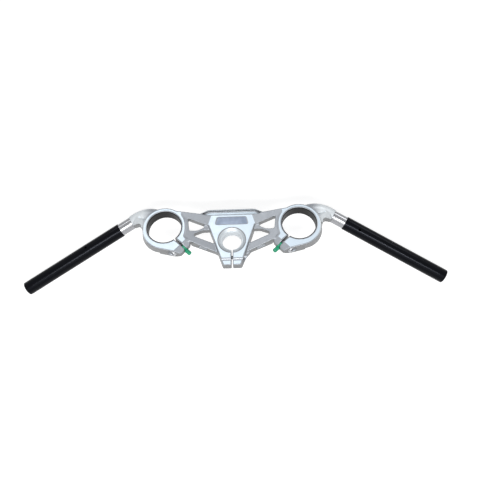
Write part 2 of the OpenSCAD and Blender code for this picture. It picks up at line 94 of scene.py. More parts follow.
Socket = bpy.types.NodeSocket
Material = bpy.types.Material
Mesh = bpy.types.Mesh
Form = bmesh.types.BMesh
Triple = tuple[float, float, float]
Shades = tuple[Triple, Triple]
Point = tuple[float, float]


def mount(name: str) -> dict:
    """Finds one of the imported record's mounts.

    Args:
        name: The mount's name.

    Returns:
        The mount's entry in the record.
    """
    return next(entry for entry in frame["record"]["mounts"] if entry["name"] == name)


class Side(Enum):
    """A side of the yoke, by the sign of its X."""

    LEFT = -1
    RIGHT = 1

    def node(self, part: str) -> str:
        """Names the CAD node of a part on this side."""
        return f"{self.name.lower()}_{part}"


class Nodes:
    """A node tree in the making.

    Args:
        owner: The material or world that it belongs to.
        kind: The kind of its output, Material or World.
    """

    def __init__(self, owner: bpy.types.ID, kind: str) -> None:
        """Empties the owner's tree and gives it its output."""
        owner.use_nodes = True
        self.tree = owner.node_tree
        self.tree.nodes.clear()
        self.surface = self.add("Output" + kind).inputs["Surface"]

    def add(self, kind: str) -> bpy.types.Node:
        """Adds a node of a kind, which is named without the words Shader and Node."""
        return self.tree.nodes.new("ShaderNode" + kind)

    def link(self, source: Socket, target: Socket) -> None:
        """Joins one socket to another."""
        self.tree.links.new(source, target)

    def math(self, operation: str, *values: Socket | float) -> Socket:
        """Works something out from sockets and plain numbers.

        Args:
            operation: What is worked out, as a Math node names it.
            *values: Its sockets and numbers, in order.

        Returns:
            The result.
        """
        node = self.add("Math")
        node.operation = operation
        for value, target in zip(values, node.inputs):
            if isinstance(value, float):
                target.default_value = value
            else:
                self.link(value, target)
        return node.outputs["Value"]

    def seen_white(self) -> Socket:
        """Gives 1 for rays that see the background, in the lens, in a gloss or through glass."""
        rays = self.add("LightPath").outputs
        level = rays["Is Camera Ray"]
        for name in ("Is Glossy Ray", "Is Transmission Ray"):
            level = self.math("MAXIMUM", level, rays[name])
        return level


class Shader(Nodes):
    """One procedural material in the making, with its Principled shader.

    Args:
        name: The material's name.
    """

    def __init__(self, name: str) -> None:
        """Starts the material with its Principled shader alone."""
        self.material = bpy.data.materials.new(name)
        super().__init__(self.material, "Material")
        self.body = self.add("BsdfPrincipled")
        self.link(self.body.outputs["BSDF"], self.surface)
        self.place = self.add("TexCoord").outputs["Object"]

    def set(self, **values: float | tuple[float, ...]) -> None:
        """Sets plain values on the Principled shader.

        Args:
            **values: Socket names, with an underscore for each space, and their values.
        """
        for name, value in values.items():
            self.body.inputs[name.replace("_", " ")].default_value = value

    def stretched(self, scale: Triple) -> Socket:
        """Stretches the object's own coordinates by a factor along each axis."""
        mapping = self.add("Mapping")
        mapping.inputs["Scale"].default_value = scale
        self.link(self.place, mapping.inputs["Vector"])
        return mapping.outputs["Vector"]

    def noise(self, size: float, detail: float, vector: Socket | None = None) -> Socket:
        """Makes a noise texture.

        Args:
            size: The size of its largest grains.
            detail: How many finer layers it has.
            vector: Its coordinates, or None for the object's own.

        Returns:
            The noise, from 0 to 1.
        """
        node = self.add("TexNoise")
        node.inputs["Scale"].default_value = 1.0 / size
        node.inputs["Detail"].default_value = detail
        self.link(vector or self.place, node.inputs["Vector"])
        return node.outputs["Fac"]

    def flakes(self, size: float) -> Socket:
        """Makes a pattern of cells of this size, each with one random colour."""
        node = self.add("TexVoronoi")
        node.inputs["Scale"].default_value = 1.0 / size
        self.link(self.place, node.inputs["Vector"])
        return node.outputs["Color"]

    def span(self, value: Socket, low: float, high: float,
             start: float = 0.3, end: float = 0.7) -> Socket:
        """Maps a value between start and end onto the range from low to high."""
        node = self.add("MapRange")
        node.inputs["From Min"].default_value = start
        node.inputs["From Max"].default_value = end
        node.inputs["To Min"].default_value = low
        node.inputs["To Max"].default_value = high
        self.link(value, node.inputs["Value"])
        return node.outputs["Result"]

    def blend(self, level: Socket, low: Socket, high: Socket) -> Socket:
        """Blends two colours by a level, low at level 0 and high at level 1."""
        node = self.add("Mix")
        node.data_type = "RGBA"
        for source, target in ((level, 0), (low, 6), (high, 7)):
            self.link(source, node.inputs[target])
        return node.outputs[2]

    def shades(self, level: Socket, dark: Triple, light: Triple) -> Socket:
        """Spreads a texture's level between a dark and a light shade."""
        node = self.add("ValToRGB")
        low, high = node.color_ramp.elements
        low.position, high.position = 0.3, 0.7
        low.color, high.color = (*dark, 1.0), (*light, 1.0)
        self.link(level, node.inputs["Fac"])
        return node.outputs["Color"]

    def tint(self, colour: Socket) -> None:
        """Gives the shader its colour."""
        self.link(colour, self.body.inputs["Base Color"])

    def dull(self, level: Socket, low: float, high: float) -> None:
        """Lets a texture's level set the roughness between two values."""
        self.link(self.span(level, low, high), self.body.inputs["Roughness"])

    def part(self, vector: Socket, axis: str) -> Socket:
        """Takes one axis out of a vector."""
        split = self.add("SeparateXYZ")
        self.link(vector, split.inputs[0])
        return split.outputs[axis]

    def upward(self) -> Socket:
        """Gives the upward share of the surface's normal."""
        return self.part(self.add("TexCoord").outputs["Normal"], "Z")

    def beyond(self, start: float, end: float) -> Socket:
        """Masks what lies farther out than start, in full from end on."""
        reach = self.math("ABSOLUTE", self.part(self.place, "X"))
        return self.span(reach, 0.0, 1.0, start, end)

    def near_stem(self, radius: float, fade: float = 0.3 * MM) -> Socket:
        """Masks what lies within a radius of the stem's axis, with a soft rim."""
        reach = self.add("VectorMath")
        reach.operation = "LENGTH"
        self.link(self.stretched((1.0, 1.0, 0.0)), reach.inputs[0])
        return self.span(reach.outputs["Value"], 1.0, 0.0, radius, radius + fade)

    def level_tops(self, floor: float, start: float, end: float,
                   fade: float = 0.5 * MM) -> Socket:
        """Masks the tops above a height, as the normal's upward share goes from start to end."""
        level = self.span(self.upward(), 0.0, 1.0, start, end)
        high = self.span(self.part(self.place, "Z"), 0.0, 1.0, floor - fade, floor)
        return self.math("MULTIPLY", level, high)

    def relief(self, height: Socket, depth: float, strength: float) -> None:
        """Adds a fine relief to the surface, on top of any earlier one.

        Args:
            height: The relief's level, from 0 to 1.
            depth: The depth that level 1 stands for.
            strength: How strongly it shades.
        """
        node = self.add("Bump")
        node.inputs["Strength"].default_value = strength
        node.inputs["Distance"].default_value = depth
        self.link(height, node.inputs["Height"])
        normal = self.body.inputs["Normal"]
        if normal.is_linked:
            self.link(normal.links[0].from_socket, node.inputs["Normal"])
        self.link(node.outputs["Normal"], normal)


@dataclass(frozen=True)
class SatinSilver:
    """Silver lacquer on a forging, with painted shade on walls and painted light on arms and
    tops cut by machining.

    Attributes:
        walls: Colours of the lacquer's dark and light flakes on steep walls, darkened as painted
            shade.
        forged: The same colours on forged tops.
        tube_and_seat_light: The same colours, lightened as painted sheen on the arms' straight
            ends and as painted light round the stem.
        bend_sheen: The same colours, lightened further as painted sheen, on the arms' bent
            parts.
        machined_and_highlight: The same colours on the tops cut by machining, lightened also as
            a painted highlight.
        flake: Size of a flake.
        peel: Size of the lacquer's waves.
        stem_r: Radius of the seat round the stem, cut by machining; painted light replaces the
            painted shade inside it.
        line_w: Width of the ring of painted shade at the seat's rim.
        arm_start: Distance from the middle plane where the arms and their painted sheen start.
        arm_fade: Distance over which their tone comes in.
        tube_start: Distance from the middle plane where the arms' bent parts end.
        tube_fade: Distance over which the next tone comes in.
        steep: Upward shares of the normal between which a wall's painted shade gives way to a
            top's colours.
        flat: Upward shares of the normal between which a top counts as level.
        level: Height above which a level top takes the tone of machining and its painted
            highlight.
        cloud: Size of the patches in its roughness.
        peel_depth: Depth of the lacquer's waves.
        flake_depth: Depth of the flakes.
    """

    walls: Shades = ((0.17, 0.175, 0.18), (0.225, 0.23, 0.235))
    forged: Shades = ((0.325, 0.35, 0.385), (0.385, 0.41, 0.445))
    tube_and_seat_light: Shades = ((0.56, 0.605, 0.64), (0.63, 0.675, 0.71))
    bend_sheen: Shades = ((0.76, 0.81, 0.84), (0.84, 0.88, 0.91))
    machined_and_highlight: Shades = ((0.68, 0.79, 0.89), (0.74, 0.85, 0.95))
    flake: float = 0.35 * MM
    peel: float = 2.4 * MM
    stem_r: float = 20.6 * MM
    line_w: float = 0.9 * MM
    arm_start: float = 128 * MM
    arm_fade: float = 14 * MM
    tube_start: float = 156 * MM
    tube_fade: float = 16 * MM
    steep: Point = (0.15, 0.8)
    flat: Point = (0.9975, 0.9992)
    level: float = 9.5 * MM
    cloud: float = 9 * MM
    peel_depth: float = 0.008 * MM
    flake_depth: float = 0.004 * MM

    def material(self) -> Material:
        """Builds the lacquer."""
        shader = Shader("satin_silver_lacquer")
        flakes = shader.noise(self.flake, 2.0)
        walls, forged, tube_and_seat_light, bend_sheen, machined_and_highlight = (
            shader.shades(flakes, *pair)
            for pair in (self.walls, self.forged, self.tube_and_seat_light, self.bend_sheen, self.machined_and_highlight))
        # Steep walls and undersides take the darker wall colours as painted shade.
        rise = shader.span(shader.upward(), 0.0, 1.0, *self.steep)
        skin = shader.blend(rise, walls, forged)
        # The arms' bent parts and straight ends take lighter colours as painted sheen.
        for start, fade, tone in ((self.arm_start, self.arm_fade, bend_sheen),
                                  (self.tube_start, self.tube_fade, tube_and_seat_light)):
            skin = shader.blend(shader.beyond(start, start + fade), skin,
                                shader.blend(rise, walls, tone))
        # A ring of painted shade marks the seat's rim; inside it, painted light lightens the
        # seat and bore.
        skin = shader.blend(shader.near_stem(self.stem_r + self.line_w), skin, walls)
        skin = shader.blend(shader.near_stem(self.stem_r), skin, tube_and_seat_light)
        # Level tops take the tone of machining, lightened further as a painted highlight.
        shader.tint(shader.blend(shader.level_tops(self.level, *self.flat), skin, machined_and_highlight))
        shader.dull(shader.noise(self.cloud, 4.0), 0.36, 0.44)
        shader.relief(shader.noise(self.peel, 2.0), self.peel_depth, 0.35)
        shader.relief(flakes, self.flake_depth, 0.35)
        shader.set(Metallic=0.4, Coat_Weight=0.2, Coat_Roughness=0.4)
        return shader.material


@dataclass(frozen=True)
class TurnedAlloy:
    """Bright turned aluminium, with fine tool marks round the piece.

    Attributes:
        axis: Direction of the piece's axis.
        tones: Colours of the tool marks' low and high ends.
        pitch: Distance between tool marks.
        depth: Depth of the tool marks.
    """

    axis: Triple
    tones: Shades = ((0.27, 0.275, 0.29), (0.40, 0.405, 0.42))
    pitch: float = 0.45 * MM
    depth: float = 0.003 * MM

    def material(self) -> Material:
        """Builds the turned finish."""
        shader = Shader("turned_alloy")
        along = shader.add("VectorMath")
        along.operation = "DOT_PRODUCT"
        along.inputs[1].default_value = self.axis
        shader.link(shader.place, along.inputs[0])
        node = shader.add("TexNoise")
        node.noise_dimensions = "1D"
        node.inputs["Scale"].default_value = 1.0 / self.pitch
        node.inputs["Detail"].default_value = 3.0
        shader.link(along.outputs["Value"], node.inputs["W"])
        marks = node.outputs["Fac"]
        shader.tint(shader.shades(marks, *self.tones))
        shader.dull(marks, 0.18, 0.28)
        shader.relief(marks, self.depth, 0.5)
        shader.set(Metallic=1.0)
        return shader.material


@dataclass(frozen=True)
class Grain:
    """A pattern that varies a finish.

    Attributes:
        size: Size of its largest grains.
        detail: How many finer layers it has, or None for flat cells.
        stretch: Factor on its coordinates, small along a drawn-out axis, or None.
    """

    size: float
    detail: float | None
    stretch: Triple | None = None

    def level(self, shader: Shader) -> Socket:
        """Adds the pattern to a material and gives its level."""
        if self.detail is None:
            return shader.flakes(self.size)
        return shader.noise(self.size, self.detail,
                            self.stretch and shader.stretched(self.stretch))


@dataclass(frozen=True)
class Finish:
    """A finish with two shades, patches of gloss and a fine relief.

    Attributes:
        name: The material's name.
        tones: Its dark and light shade.
        cloud: Pattern of the two shades.
        mark: Pattern of its gloss.
        dull: Its lowest and highest roughness.
        grain: Pattern of its relief.
        depth: Depth of the relief.
        strength: How strongly the relief shades.
        values: Plain values of its shader.
    """

    name: str
    tones: Shades
    cloud: Grain
    mark: Grain
    dull: Point
    grain: Grain
    depth: float
    strength: float
    values: dict[str, float | tuple[float, ...]]

    def material(self) -> Material:
        """Builds the finish."""
        shader = Shader(self.name)
        shader.tint(shader.shades(self.cloud.level(shader), *self.tones))
        shader.dull(self.mark.level(shader), *self.dull)
        shader.relief(self.grain.level(shader), self.depth, self.strength)
        shader.set(**self.values)
        return shader.material


MOULD_RINGS = Grain(1.1 * MM, 2.0, (0.05, 0.05, 1.0))
SATIN_BLACK = Finish("satin_black", ((0.0012, 0.0013, 0.002), (0.0024, 0.0025, 0.0036)),
                     Grain(14 * MM, 4.0), Grain(6 * MM, 5.0), (0.20, 0.26),
                     Grain(0.5 * MM, 2.0), 0.002 * MM, 0.4,
                     {"Specular_IOR_Level": 0.1, "Specular_Tint": (0.80, 0.85, 1.0, 1.0)})
LINER_BLACK = Finish("liner_black", ((0.0018, 0.002, 0.002), (0.004, 0.0045, 0.0045)),
                     MOULD_RINGS, MOULD_RINGS, (0.3, 0.45), MOULD_RINGS, 0.03 * MM, 0.5,
                     {"Specular_IOR_Level": 0.14})
PLUG_GREEN = Finish("plug_green", ((0.010, 0.26, 0.13), (0.02, 0.42, 0.22)),
                    Grain(3 * MM, 3.0), Grain(1.5 * MM, 3.0), (0.22, 0.36),
                    Grain(0.8 * MM, 2.0), 0.04 * MM, 0.3, {"Subsurface_Weight": 0.05})
ZINC_STEEL = Finish("zinc_steel", ((0.34, 0.35, 0.37), (0.52, 0.53, 0.55)),
                    Grain(0.7 * MM, None), Grain(1.2 * MM, 4.0), (0.28, 0.46),
                    Grain(0.3 * MM, 3.0), 0.015 * MM, 0.4, {"Metallic": 1.0})


@dataclass(frozen=True)
class PlateBlue:
    """Blue-grey anodised plate, brushed along its length.

    Attributes:
        tones: Its dark and light shade.
        grain: Width of a brush mark.
        stretch: Factor on their coordinates, small along the brushing.
        cloud: Size of the soft patches under them.
        depth: Depth of the brush marks.
    """

    tones: Shades = ((0.27, 0.325, 0.43), (0.38, 0.445, 0.57))
    grain: float = 0.3 * MM
    stretch: Triple = (0.03, 1.0, 1.0)
    cloud: float = 14 * MM
    depth: float = 0.02 * MM

    def material(self) -> Material:
        """Builds the plate's finish."""
        shader = Shader("plate_blue")
        brushed = shader.noise(self.grain, 4.0, shader.stretched(self.stretch))
        clouds = shader.span(shader.noise(self.cloud, 2.0), 0.0, 0.5)
        shader.tint(shader.shades(shader.math("MULTIPLY_ADD", brushed, 0.5, clouds),
                                  *self.tones))
        shader.dull(brushed, 0.36, 0.5)
        shader.relief(brushed, self.depth, 0.4)
        shader.set(Metallic=0.35)
        return shader.material


@dataclass(frozen=True)
class Axis:
    """A line in space on which round pieces are turned.

    Attributes:
        start: Its zero point.
        way: Its unit direction.
    """

    start: Vector
    way: Vector

    @staticmethod
    def of_mount(name: str) -> "Axis":
        """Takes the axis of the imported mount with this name."""
        entry = mount(name)
        return Axis(Vector(entry["pos_m"]), Vector(entry["axis"]).normalized())

    def frame(self) -> Matrix:
        """Gives the matrix that takes +Z onto the axis."""
        tilt = Vector((0, 0, 1)).rotation_difference(self.way).to_matrix().to_4x4()
        return Matrix.Translation(self.start) @ tilt

    def reach(self, node: str) -> Triple:
        """Measures a CAD node along the axis.

        Args:
            node: The node's name.

        Returns:
            Its lowest and highest point along the axis, and its largest radius.
        """
        way, vertices = np.array(self.way), NODES[node].data.vertices
        points = np.array([vertex.co for vertex in vertices]) - np.array(self.start)
        along = points @ way
        beside = np.linalg.norm(points - along[:, None] * way, axis=1)
        return float(along.min()), float(along.max()), float(beside.max())


def placed(name: str, data: bpy.types.ID) -> bpy.types.Object:
    """Makes an object of a mesh, lamp or camera and puts it in the scene."""
    item = bpy.data.objects.new(name, data)
    bpy.context.scene.collection.objects.link(item)
    return item


def add_piece(name: str, mesh: Mesh, finish: Material, slot: str, *stands_for: str) -> None:
    """Adds a finished piece to the scene.

    Args:
        name: The piece's name.
        mesh: Its mesh, in the shared frame.
        finish: Its material.
        slot: The record's material slot; not used.
        *stands_for: The CAD nodes that it replaces.
    """
    piece = placed(name, mesh)
    mesh.materials.clear()
    mesh.materials.append(finish)
    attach(piece, "root")
    if stands_for:
        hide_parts(*stands_for)
    LOG.info("%s: %d faces, finish %s", name, len(mesh.polygons), finish.name)


def smooth(mesh: Mesh, crease: float = 30.0) -> None:
    """Shades a mesh smoothly between the edges that turn more than the crease, in degrees."""
    mesh.shade_smooth()
    mesh.set_sharp_from_angle(angle=math.radians(crease))


def mesh_from(name: str, form: Form, place: Matrix,
              crease: float = 35.0) -> Mesh:
    """Turns an edited form into a mesh with smooth shading between its sharp edges.

    Args:
        name: The mesh's name.
        form: The form, which is used up.
        place: The matrix that places it.
        crease: Angle above which an edge stays sharp, in degrees.

    Returns:
        The mesh.
    """
    bmesh.ops.transform(form, matrix=place, verts=form.verts)
    bmesh.ops.recalc_face_normals(form, faces=form.faces)
    mesh = bpy.data.meshes.new(name)
    form.to_mesh(mesh)
    form.free()
    smooth(mesh, crease)
    return mesh


def arc(centre: Point, radius: float, start: float, end: float, steps: int) -> list[Point]:
    """Gives the points of an arc in a turned piece's profile.

    Args:
        centre: The arc's centre, as radius and height.
        radius: The arc's own radius.
        start: Its start angle in degrees.
        end: Its end angle in degrees.
        steps: How many pieces it has.

    Returns:
        The points, both ends among them.
    """
    angles = [math.radians(start + (end - start) * i / steps) for i in range(steps + 1)]
    return [(centre[0] + radius * math.cos(a), centre[1] + radius * math.sin(a)) for a in angles]


def turned(profile: list[Point], sides: int, closed: bool = False) -> Form:
    """Turns a profile about the Z axis.

    Args:
        profile: Points as radius and height. A radius of 0 lies on the axis.
        sides: Faces round the circle.
        closed: True where the last point joins the first, as in a tube.

    Returns:
        The turned form.
    """
    form = bmesh.new()
    rows = []
    for radius, height in profile:
        if radius == 0:
            rows.append([form.verts.new((0, 0, height))] * sides)
            continue
        angles = [2 * math.pi * i / sides for i in range(sides)]
        rows.append([form.verts.new((radius * math.cos(a), radius * math.sin(a), height))
                     for a in angles])
    pairs = list(zip(rows, rows[1:]))
    if closed:
        pairs.append((rows[-1], rows[0]))
    for low, high in pairs:
        for i in range(sides):
            j = (i + 1) % sides
            corners = list(dict.fromkeys((low[i], low[j], high[j], high[i])))
            if len(corners) > 2:
                form.faces.new(corners)
    return form


def prism(plan: list[Point], low: float, high: float, bevel: float = 0.0) -> Form:
    """Raises a plan into a solid with rounded edges.

    Args:
        plan: The plan's corners.
        low: Height of its underside.
        high: Height of its top.
        bevel: Radius of its edges.

    Returns:
        The form.
    """
    form = bmesh.new()
    bottom = [form.verts.new((x, y, low)) for x, y in plan]
    top = [form.verts.new((x, y, high)) for x, y in plan]
    form.faces.new(bottom[::-1])
    form.faces.new(top)
    count = len(plan)
    for i in range(count):
        j = (i + 1) % count
        form.faces.new((bottom[i], bottom[j], top[j], top[i]))
    if bevel:
        bmesh.ops.recalc_face_normals(form, faces=form.faces)
        rims = [edge for edge in form.edges
                if abs(edge.verts[0].co.z - edge.verts[1].co.z) < LEVEL]
        bmesh.ops.bevel(form, geom=rims, offset=bevel, segments=3, profile=0.5,
                        affect="EDGES", clamp_overlap=True)
    return form


def apply_modifiers(mesh: Mesh, setups: list[tuple[str, dict]]) -> Mesh:
    """Runs modifiers on a mesh and keeps the result.

    Args:
        mesh: The mesh.
        setups: Modifier types with their settings, in order.

    Returns:
        The changed mesh.
    """
    holder = placed("holder", mesh)
    for kind, settings in setups:
        modifier = holder.modifiers.new(kind.lower(), kind)
        for key, value in settings.items():
            setattr(modifier, key, value)
    graph = bpy.context.evaluated_depsgraph_get()
    graph.update()
    result = bpy.data.meshes.new_from_object(holder.evaluated_get(graph))
    bpy.data.objects.remove(holder)
    return result


def cut_out(mesh: Mesh, cutters: list[Mesh]) -> Mesh:
    """Cuts closed meshes out of another one.

    Args:
        mesh: The mesh that is cut.
        cutters: The meshes that cut it.

    Returns:
        What is left.
    """
    tools = [placed("cutter", cutter) for cutter in cutters]
    setups = [("BOOLEAN", {"operation": "DIFFERENCE", "solver": "EXACT", "object": tool})
              for tool in tools]
    result = apply_modifiers(mesh, setups)
    for tool in tools:
        bpy.data.objects.remove(tool)
    return result


@dataclass
class ForgedYoke:
    """The forged yoke, with softly rounded edges and faired walls.

    Attributes:
        finish: Its lacquer.
        voxel: Grid of the remeshed skin.
        core_r: Radius of the cores that fill the spigots' hidden sockets.
        core_back: How far a core stays inside its socket's mouth.
        edge: Rounds that soften the edges, and how far each moves the skin in and out again.
        fair: The same for the rounds that take the facets out of curved walls.
        spread_rounds: Rounds that average the normals of a neighbourhood.
        widen_rounds: Rounds that widen the edges' own area.
        fair_limit: How far a normal may leave its neighbourhood's in a fair area.
        press_from: Height above which the skin is pressed back into the CAD box.
        triangles: Triangles that the finished skin may have.
    """

    finish: Material
    voxel: float = 0.75 * MM
    core_r: float = 10.5 * MM
    core_back: float = 0.2 * MM
    edge: tuple[int, float, float] = (5, 0.5, 0.3)
    fair: tuple[int, float, float] = (40, 0.5, 0.52)
    spread_rounds: int = 8
    widen_rounds: int = 3
    fair_limit: float = 0.02
    press_from: float = 12 * MM
    triangles: int = 185_000

    def dress(self) -> None:
        """Makes the yoke's soft skin and gives it its lacquer."""
        skin = self.remeshed()
        self.soften(skin)
        share = min(1.0, self.triangles / (2 * len(skin.polygons)))
        skin = apply_modifiers(skin, [("DECIMATE", {"ratio": share})])
        skin.shade_smooth()
        add_piece("soft_yoke", skin, self.finish, "yoke_alloy", "yoke")

    def remeshed(self) -> Mesh:
        """Remeshes the CAD yoke on a fine grid, with the spigots' sockets filled.

        Returns:
            The remeshed skin.
        """
        form = bmesh.new()
        form.from_mesh(NODES["yoke"].data)
        bmesh.ops.remove_doubles(form, verts=form.verts, dist=WELD)
        skin = bpy.data.meshes.new("skin")
        for side in Side:
            axis = Axis.of_mount(side.node("bar_seat"))
            root = axis.reach(side.node("bar_spigot"))[0]
            mouth = root + SPIGOT_GRIP
            core = turned([(0, root), (self.core_r, root), (self.core_r, mouth - self.core_back),
                           (0, mouth - self.core_back)], 64)
            bmesh.ops.transform(core, matrix=axis.frame(), verts=core.verts)
            core.to_mesh(skin)
            core.free()
            form.from_mesh(skin)
        form.to_mesh(skin)
        form.free()
        return apply_modifiers(skin, [("REMESH", {"mode": "VOXEL", "voxel_size": self.voxel})])

    def soften(self, skin: Mesh) -> None:
        """Rounds the skin's edges a little and takes the facets out of its curved walls.

        Args:
            skin: The remeshed skin, which is changed in place.
        """
        count = len(skin.vertices)
        points = np.empty(3 * count, np.float32)
        skin.vertices.foreach_get("co", points)
        points = points.reshape(-1, 3).astype(float)
        ends = np.empty(2 * len(skin.edges), np.int32)
        skin.edges.foreach_get("vertices", ends)
        near, far = ends.reshape(-1, 2).T
        degree = np.bincount(ends, minlength=count)[:, None]

        def mean(values: np.ndarray) -> np.ndarray:
            """Averages each vertex's neighbours."""
            return np.stack([np.bincount(near, values[far, k], count)
                             + np.bincount(far, values[near, k], count)
                             for k in range(3)], 1) / degree

        rounds, inward, outward = self.edge
        for _ in range(rounds):
            points += inward * (mean(points) - points)
            points -= outward * (mean(points) - points)
        skin.vertices.foreach_set("co", points.astype(np.float32).ravel())
        skin.update()
        normals = np.empty(3 * count, np.float32)
        skin.vertex_normals.foreach_get("vector", normals)
        normals = normals.reshape(-1, 3).astype(float)
        spread = normals
        for _ in range(self.spread_rounds):
            spread = mean(spread)
            spread /= np.linalg.norm(spread, axis=1, keepdims=True) + 1e-12
        turn = 1 - (normals * spread).sum(1)
        for _ in range(self.widen_rounds):
            turn = np.maximum(turn, mean(np.stack([turn] * 3, 1))[:, 0])
        fair = np.clip(2 - 2 * turn / self.fair_limit, 0, 1)[:, None]
        rounds, inward, outward = self.fair
        for _ in range(rounds):
            points += inward * fair * (mean(points) - points)
            points -= outward * fair * (mean(points) - points)
        # The fairing lifts the highest rim by a hair, so it is pressed back into the CAD box.
        rise = points[:, 2] - self.press_from
        press = (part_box("yoke")[1].z - self.press_from) / rise.max()
        points[:, 2] -= np.clip(rise, 0, None) * max(0.0, 1 - press)
        skin.vertices.foreach_set("co", points.astype(np.float32).ravel())
        skin.update()


@dataclass
class Handlebar:
    """One black bar: a tube with rounded ends and a countersunk pin hole.

    Attributes:
        side: The side it belongs to.
        finish: Its black finish.
        inner_lip: Rounding of the edge that meets the spigot.
        outer_lip: Rounding of its free end.
        bore_lip: Rounding of the bore at the free end.
        pin_chamfer: Width of the pin hole's chamfer.
        spare: How far the pin hole's cutter reaches past the wall.
        spans: Sections along the bar.
    """

    side: Side
    finish: Material
    inner_lip: float = 0.5 * MM
    outer_lip: float = 1.4 * MM
    bore_lip: float = 0.7 * MM
    pin_chamfer: float = 0.35 * MM
    spare: float = 1 * MM
    spans: int = 12

    def dress(self) -> None:
        """Turns the tube, drills its pin hole and finishes it."""
        axis = Axis.of_mount(self.side.node("bar_seat"))
        low, high, radius = axis.reach(self.side.node("bar"))
        bore = mount(self.side.node("bar_end"))["dims"]["r_mm"] * MM
        lip, crown, small = self.inner_lip, self.outer_lip, self.bore_lip
        profile = ([(bore, low)] + arc((radius - lip, low + lip), lip, -90, 0, 4)
                   + [(radius, low + (high - low) * i / self.spans)
                      for i in range(1, self.spans)]
                   + arc((radius - crown, high - crown), crown, 0, 90, 6)
                   + arc((bore + small, high - small), small, 90, 180, 4))
        tube = mesh_from(self.side.node("tube"), turned(profile, 128, closed=True), axis.frame())
        tube = cut_out(tube, [self.pin_cutter()])
        smooth(tube)
        add_piece(self.side.node("grip_tube"), tube, self.finish, "bar_black",
                  self.side.node("bar"))

    def pin_cutter(self) -> Mesh:
        """Makes the form that drills the pin hole, with its chamfer."""
        hole = mount(self.side.node("switch_pin_hole"))
        axis = Axis.of_mount(self.side.node("switch_pin_hole"))
        r, half = hole["dims"]["r_mm"] * MM, hole["dims"]["length_mm"] * MM / 2
        wide = r + self.pin_chamfer + self.spare
        foot, top = -half - 2 * self.spare, half + self.spare
        profile = [(0, foot), (r, foot), (r, half - self.pin_chamfer), (wide, top), (0, top)]
        return mesh_from("pin_cutter", turned(profile, 48), axis.frame())


@dataclass
class Spigot:
    """The bright turned collar between an arm and its bar.

    Attributes:
        side: The side it belongs to.
        groove: Depth of the fine groove where it leaves the arm.
        groove_w: Half the groove's width at its floor and at its top.
        shoulder: Width of its shoulder's chamfer, along and across.
        tail: Chamfer of its hidden end.
        spans: Sections between the groove and the shoulder.
    """

    side: Side
    groove: float = 0.25 * MM
    groove_w: Point = (0.3 * MM, 0.6 * MM)
    shoulder: Point = (0.5 * MM, 0.35 * MM)
    tail: float = 1 * MM
    spans: int = 10

    def dress(self) -> None:
        """Turns the spigot with its shoulder and its thinner tail."""
        axis = Axis.of_mount(self.side.node("bar_seat"))
        low, high, radius = axis.reach(self.side.node("bar_spigot"))
        stop = axis.reach(self.side.node("bar"))[0]
        bore = mount(self.side.node("bar_end"))["dims"]["r_mm"] * MM - SPIGOT_GAP
        seam, neck = low + SPIGOT_GRIP, radius - self.groove
        inner, outer = self.groove_w
        profile = [(0, low), (radius, low), (radius, seam - outer), (neck, seam - inner),
                   (neck, seam + inner), (radius, seam + outer)]
        span = stop - self.shoulder[0] - (seam + outer)
        profile += [(radius, seam + outer + span * i / self.spans)
                    for i in range(1, self.spans + 1)]
        profile += [(radius - self.shoulder[1], stop), (bore, stop), (bore, high - self.tail),
                    (bore - self.tail, high), (0, high)]
        mesh = mesh_from(self.side.node("collar"), turned(profile, 128), axis.frame(), 25)
        finish = TurnedAlloy(tuple(axis.way)).material()
        add_piece(self.side.node("turned_collar"), mesh, finish, "spigot_alloy",
                  self.side.node("bar_spigot"))


@dataclass
class SplitLiner:
    """The thin split sleeve in a fork clamp, with chamfered rims.

    Attributes:
        side: The side it belongs to.
        finish: Its black finish.
        chamfer: Width of its rims' chamfer.
        gap: Width of its slit.
        cut: Where the slit's cutter starts and ends, from the fork's axis.
        spare: How far the cutter reaches past the rims.
    """

    side: Side
    finish: Material
    chamfer: float = 0.3 * MM
    gap: float = 3 * MM
    cut: Point = (20 * MM, 40 * MM)
    spare: float = 1 * MM

    def dress(self) -> None:
        """Turns the sleeve, slits it and finishes it."""
        clamp = mount(self.side.node("fork_clamp"))
        inner = clamp["dims"]["r_mm"] * MM
        low, high = (corner.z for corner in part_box(self.side.node("fork_liner")))
        centre = Vector((clamp["pos_m"][0], clamp["pos_m"][1], 0))
        outer = Axis(centre, Vector((0, 0, 1))).reach(self.side.node("fork_liner"))[2]
        c = self.chamfer
        profile = [(inner, low + c), (inner + c, low), (outer - c, low), (outer, low + c),
                   (outer, high - c), (outer - c, high), (inner + c, high), (inner, high - c)]
        sleeve = mesh_from("sleeve", turned(profile, 160, closed=True),
                           Matrix.Translation(centre), 30)
        sign = self.side.value
        angle = math.radians(SLIT_ANGLE)
        half = self.gap / 2
        near, far = self.cut
        plan = [(x, SLIT_OFFSET + y) for x, y in
                ((near, -half), (far, -half), (far, half), (near, half))]
        plan = [(sign * (x * math.cos(angle) - y * math.sin(angle)),
                 x * math.sin(angle) + y * math.cos(angle)) for x, y in plan]
        slit = mesh_from("slit", prism(plan, low - self.spare, high + self.spare),
                         Matrix.Translation(centre))
        sleeve = cut_out(sleeve, [slit])
        smooth(sleeve)
        add_piece(self.side.node("split_sleeve"), sleeve, self.finish, "liner_black",
                  self.side.node("fork_liner"))


